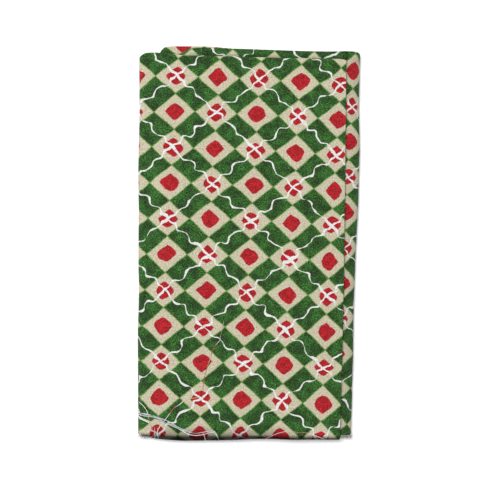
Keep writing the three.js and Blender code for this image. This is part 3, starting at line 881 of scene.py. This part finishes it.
def print_colour(place, grain):
    """Colour of the print at a place on the cloth, in millimetres: cream diamonds point to point on green,
    each with a red dot, and white wavy lines along both diagonals through every other dot. The dark dyes
    show the grain of the threads most."""
    drift = wander(place, 0.075, 1.0, 2.2)
    rough = wander(place, 0.6, 1.0, 0.7)
    i, j = lattice_place(vector(vector(place, "ADD", drift), "ADD", rough))
    near_i, near_j = i.math("ROUND"), j.math("ROUND")
    di, dj = i - near_i, j - near_j
    lot_x, lot_y = parts_of(noise(joined(near_i * 7.3, near_j * 7.3), 1.0, 0.0, colour=True))

    diamond = di.math("ABSOLUTE") * (1 / DIAMOND[0]) + dj.math("ABSOLUTE") * (1 / DIAMOND[1])
    cream_part = diamond.soft_above(1.015, 0.975)
    fringe = diamond.soft_above(1.11, 1.01)

    dot_drift = wander(place, 0.16, 0.0, 0.10)
    dot_x, dot_y = parts_of(vector(joined(di, dj), "ADD", dot_drift))
    dot_x = (dot_x + (lot_x - 0.5) * 0.06).math("ABSOLUTE") * (1 / DOT[0])
    dot_y = (dot_y + (lot_y - 0.5) * 0.06).math("ABSOLUTE") * (1 / DOT[1])
    dot = dot_x.math("POWER", DOT_BULGE) + dot_y.math("POWER", DOT_BULGE)
    dot_part = dot.soft_above(1.06, 0.94)

    sway = wander(place, 0.11, 1.0, 5.0)
    soft_i, soft_j = lattice_place(vector(place, "ADD", sway))
    falling, rising = soft_i - soft_j, soft_i + soft_j
    line_a = wavy_line(falling.math("WRAP", 1.0, -1.0), rising * 0.5, FALLING_LENGTH, place, 31.0)
    line_b = wavy_line(rising.math("WRAP", 1.0, -1.0), falling * 0.5, RISING_LENGTH, place, 57.0)
    line = line_a.math("MAXIMUM", line_b)

    blotch = noise(place, 0.14, 3.0, 0.6).soft_above(0.35, 0.68)
    green = vector(mix(blotch, GREEN_DARK, GREEN_LIGHT), "SCALE", (grain * 3.2 + 1.0).math("MAXIMUM", 0.25))
    green = mix(fringe * 0.85, green, GREEN_FRINGE)
    speck = noise(place, 1.15, 2.0, 0.8)
    cream = mix(speck.soft_above(0.5, 0.66), CREAM, CREAM_PINK)
    cream = mix(speck.soft_above(0.5, 0.34), cream, CREAM_GREEN)
    red = mix(noise(place, 0.3, 2.0).soft_above(0.3, 0.65), RED_DARK, RED)
    red = vector(red, "SCALE", (grain * 1.8 + 1.0).math("MAXIMUM", 0.3))
    colour = mix(cream_part, green, cream)
    colour = mix(dot_part, colour, red)
    return mix(line, colour, WHITE)


def weave(place):
    """Height of a plain weave with threads of uneven thickness, and how light each thread came out."""
    x, y = parts_of(place)
    slub_x = noise(joined(x * (1 / THREAD_PITCH), y * 0.12), 1.0, 1.0)
    slub_y = noise(joined(x * 0.12, y * (1 / THREAD_PITCH), 9.0), 1.0, 1.0)
    over_x = (x * (math.pi / THREAD_PITCH)).math("SINE")
    over_y = (y * (math.pi / THREAD_PITCH)).math("SINE")
    return over_x * over_y * 0.5 + slub_x + slub_y, slub_x + slub_y - 1.0


def cotton(name, faded):
    """Printed quilting cotton. `faded` is 0 on the printed face and near 1 on the plain one."""
    material = bpy.data.materials.new(name)
    material.use_nodes = True
    tree = material.node_tree
    shader = tree.nodes["Principled BSDF"]
    source = tree.nodes.new("ShaderNodeUVMap")
    source.uv_map = "cloth"
    place = vector(Field(tree, source.outputs[0]), "SCALE", 1 / MM)
    x, y = parts_of(place)
    grain = noise(joined(x * 1.9, y * 0.95), 1.0, 1.0) + noise(joined(x * 0.95, y * 1.9, 4.0), 1.0, 1.0) - 1.0
    colour = print_colour(place, grain)
    if faded:
        colour = mix(noise(place, 0.2) * 0.3 + faded, colour, PLAIN_SIDE)
    height, lightness = weave(place)
    # Painted shade: the point attribute read here darkens the colour and dims the specular and sheen at the
    # bend over the raw ends and in the cover's crevices
    turned = tree.nodes.new("ShaderNodeAttribute")
    turned.attribute_name = "painted_shade"
    depth = Field(tree, turned.outputs["Fac"]) * -PAINTED_SHADE_STRENGTH + 1.0
    colour = vector(colour, "SCALE", (lightness * 0.4 + grain * 1.05 + 1.0) * depth * CLOTH_TONE)
    feed(tree, shader.inputs["Base Color"], colour)
    shader.inputs["Roughness"].default_value = 0.88
    feed(tree, shader.inputs["Specular IOR Level"], depth * 0.25)
    feed(tree, shader.inputs["Sheen Weight"], depth * 0.1)
    shader.inputs["Sheen Roughness"].default_value = 0.5
    bump = tree.nodes.new("ShaderNodeBump")
    bump.inputs["Strength"].default_value = 0.45
    bump.inputs["Distance"].default_value = 0.00015
    feed(tree, bump.inputs["Height"], height + grain * 1.5)
    tree.links.new(bump.outputs[0], shader.inputs["Normal"])
    return material


def thread_material(name):
    """Cotton thread in the colour of its "dye", with the slanting shade of its twist."""
    material = bpy.data.materials.new(name)
    material.use_nodes = True
    tree = material.node_tree
    shader = tree.nodes["Principled BSDF"]
    # The point colour read here is each thread's dye, or painted shade on the grey and slate yarn and on the
    # hanging fibres
    dye_and_painted_shade = tree.nodes.new("ShaderNodeAttribute")
    dye_and_painted_shade.attribute_name = "dye_and_painted_shade"
    spot = tree.nodes.new("ShaderNodeTexCoord")
    place = vector(Field(tree, spot.outputs["Object"]), "SCALE", 1 / MM)
    twist = noise(place, 2.4, 1.0)
    colour = vector(Field(tree, dye_and_painted_shade.outputs["Color"]), "SCALE", twist * 0.5 + 0.75)
    feed(tree, shader.inputs["Base Color"], colour)
    shader.inputs["Roughness"].default_value = 0.75
    shader.inputs["Sheen Weight"].default_value = 0.15
    bump = tree.nodes.new("ShaderNodeBump")
    bump.inputs["Strength"].default_value = 0.4
    bump.inputs["Distance"].default_value = 0.0001
    feed(tree, bump.inputs["Height"], twist)
    tree.links.new(bump.outputs[0], shader.inputs["Normal"])
    return material


def plain_material(name, colour, roughness):
    """A plain matt material."""
    material = bpy.data.materials.new(name)
    material.use_nodes = True
    shader = material.node_tree.nodes["Principled BSDF"]
    shader.inputs["Base Color"].default_value = colour
    shader.inputs["Roughness"].default_value = roughness
    return material


def make_floor():
    """A plain pale table top."""
    half = 9000.0
    corners = np.array([(-half, -half, 0), (half, -half, 0), (half, half, 0), (-half, half, 0)])
    pale = plain_material("pale_table", (0.96, 0.96, 0.96, 1), 0.9)
    make_mesh("table_top", corners, np.array([[0, 1, 2, 3]]), [pale])


def make_camera():
    """Straight above the bundle, its top towards +Y. The picture is 325 mm wide at the flap's height."""
    lens, sensor = 85.0, 36.0
    picture_width, flap_height = 325.0, 10.0
    centre = (0.98, -4.55)
    data = bpy.data.cameras.new("camera")
    data.lens, data.sensor_width = lens, sensor
    camera = bpy.data.objects.new("camera", data)
    camera.location = (centre[0] * MM, centre[1] * MM, (flap_height + picture_width * lens / sensor) * MM)
    bpy.context.scene.collection.objects.link(camera)
    bpy.context.scene.camera = camera


def make_light(name, place, aim, size, power):
    """A square softbox at a place, turned to face a point."""
    data = bpy.data.lights.new(name, "AREA")
    data.size, data.energy = size, power
    light = bpy.data.objects.new(name, data)
    light.location = place
    light.rotation_mode = "QUATERNION"
    light.rotation_quaternion = (Vector(aim) - Vector(place)).to_track_quat("-Z", "Y")
    bpy.context.scene.collection.objects.link(light)


def make_lights():
    """A large softbox nearly overhead, a smaller one further to the left and towards +Y, and a dim fill."""
    world = bpy.data.worlds.new("studio")
    world.use_nodes = True
    world.node_tree.nodes["Background"].inputs["Color"].default_value = (1.0, 1.0, 1.0, 1)
    world.node_tree.nodes["Background"].inputs["Strength"].default_value = 0.3
    bpy.context.scene.world = world
    make_light("overhead_softbox", (-0.2, 0.3, 2.5), (0, 0, 0), 1.7, 38.0)
    make_light("key_softbox", (-0.75, 0.85, 2.3), (0, 0, 0), 1.0, 36.0)
    bpy.context.scene.view_settings.view_transform = "Standard"


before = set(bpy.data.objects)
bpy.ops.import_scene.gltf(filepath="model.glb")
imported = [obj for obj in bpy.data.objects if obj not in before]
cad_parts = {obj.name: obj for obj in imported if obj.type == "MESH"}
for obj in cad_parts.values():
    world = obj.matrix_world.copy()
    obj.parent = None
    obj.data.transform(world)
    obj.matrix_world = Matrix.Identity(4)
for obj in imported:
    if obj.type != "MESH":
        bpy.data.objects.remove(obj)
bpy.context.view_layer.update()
make_camera()
make_lights()
make_floor()
printed_face = cotton("printed_cotton_face", 0.0)
plain_face = cotton("printed_cotton_reverse", 0.6)
cloth, middle = make_cloth(printed_face, plain_face)
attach(cloth, "root")
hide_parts("folded_cloth")
fray = make_fray(middle)
threads = make_threads(cloth)
for trimming in (fray, threads):
    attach(trimming, "root")
